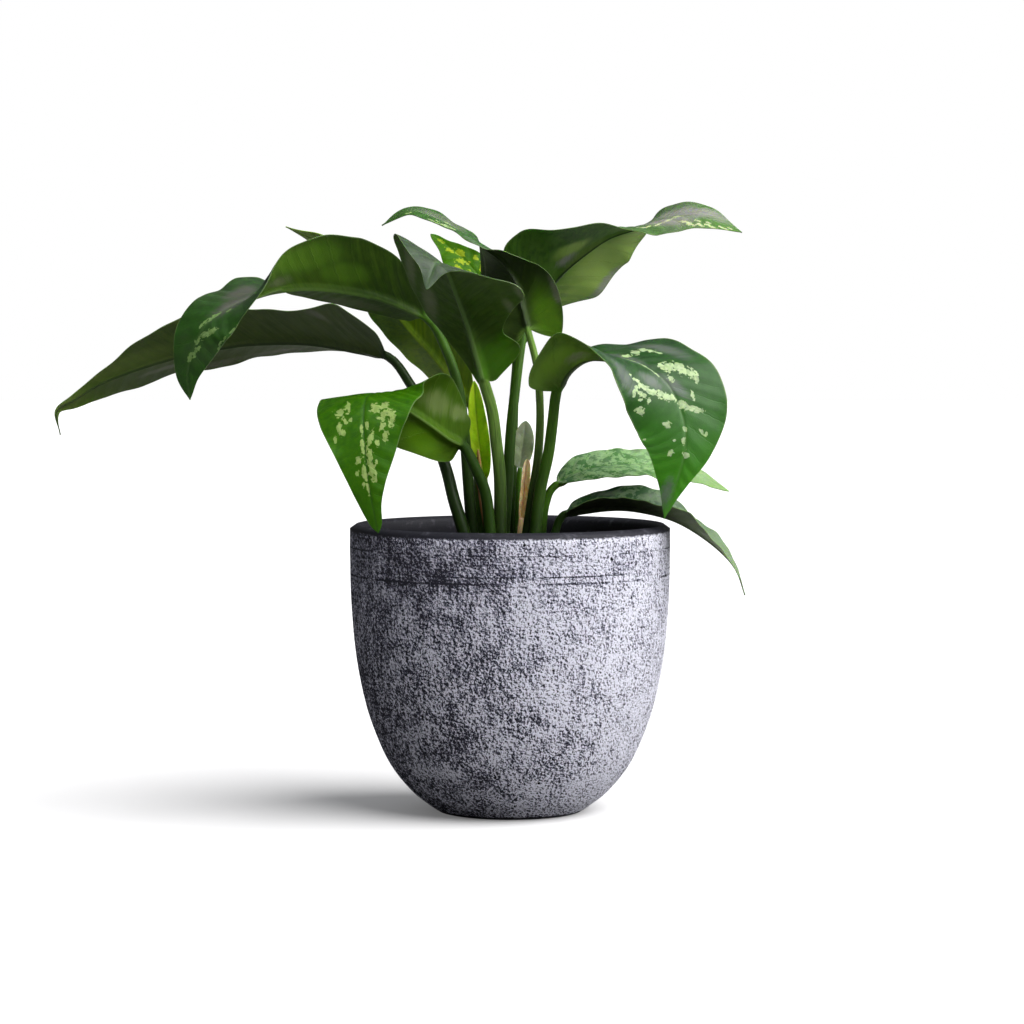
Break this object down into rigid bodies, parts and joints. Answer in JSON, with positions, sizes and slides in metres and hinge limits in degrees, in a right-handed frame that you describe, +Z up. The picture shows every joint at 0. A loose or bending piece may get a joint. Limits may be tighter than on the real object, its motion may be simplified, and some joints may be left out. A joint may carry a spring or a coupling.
{
  "type": "potted plant",
  "caption": "Chinese evergreen with large waved, folded leaves on upright petioles, growing from soil in a lime-washed cement pot that curves in to a small base.",
  "frame": {"origin": "centre of the pot's flat underside, on the surface that the part stands on", "axes": "+Z up along the pot's axis, +X to the right of a viewer who looks along +Y, as the picture does; the leaves spread furthest along X"},
  "size_m": [0.3494, 0.16, 0.3054],
  "materials": {
    "lime_washed_cement": "dark cement with a mottled, matt, pale lime wash",
    "potting_soil": "loose and matt",
    "green_leaf": "waxy, with a soft gloss and pale blotches",
    "yellow_green_leaf": "waxy, with a soft gloss",
    "dried_sheath": "dry and matt"
  },
  "bodies": {
    "root": {"pot": "lime_washed_cement", "potting_soil": "potting_soil", "leaf_far_left": "green_leaf", "leaf_upper_left": "green_leaf", "leaf_centre": "green_leaf", "leaf_top": "green_leaf", "leaf_upper_right": "green_leaf", "leaf_behind_top": "yellow_green_leaf", "leaf_right": "green_leaf", "leaf_front_left": "green_leaf", "leaf_behind_left": "yellow_green_leaf", "leaf_small": "green_leaf", "leaf_low_right": "green_leaf", "leaf_trailing": "green_leaf", "leaf_young": "yellow_green_leaf", "dried_sheath_straw": "dried_sheath", "dried_sheath_brown": "dried_sheath"}
  },
  "joints": []
}
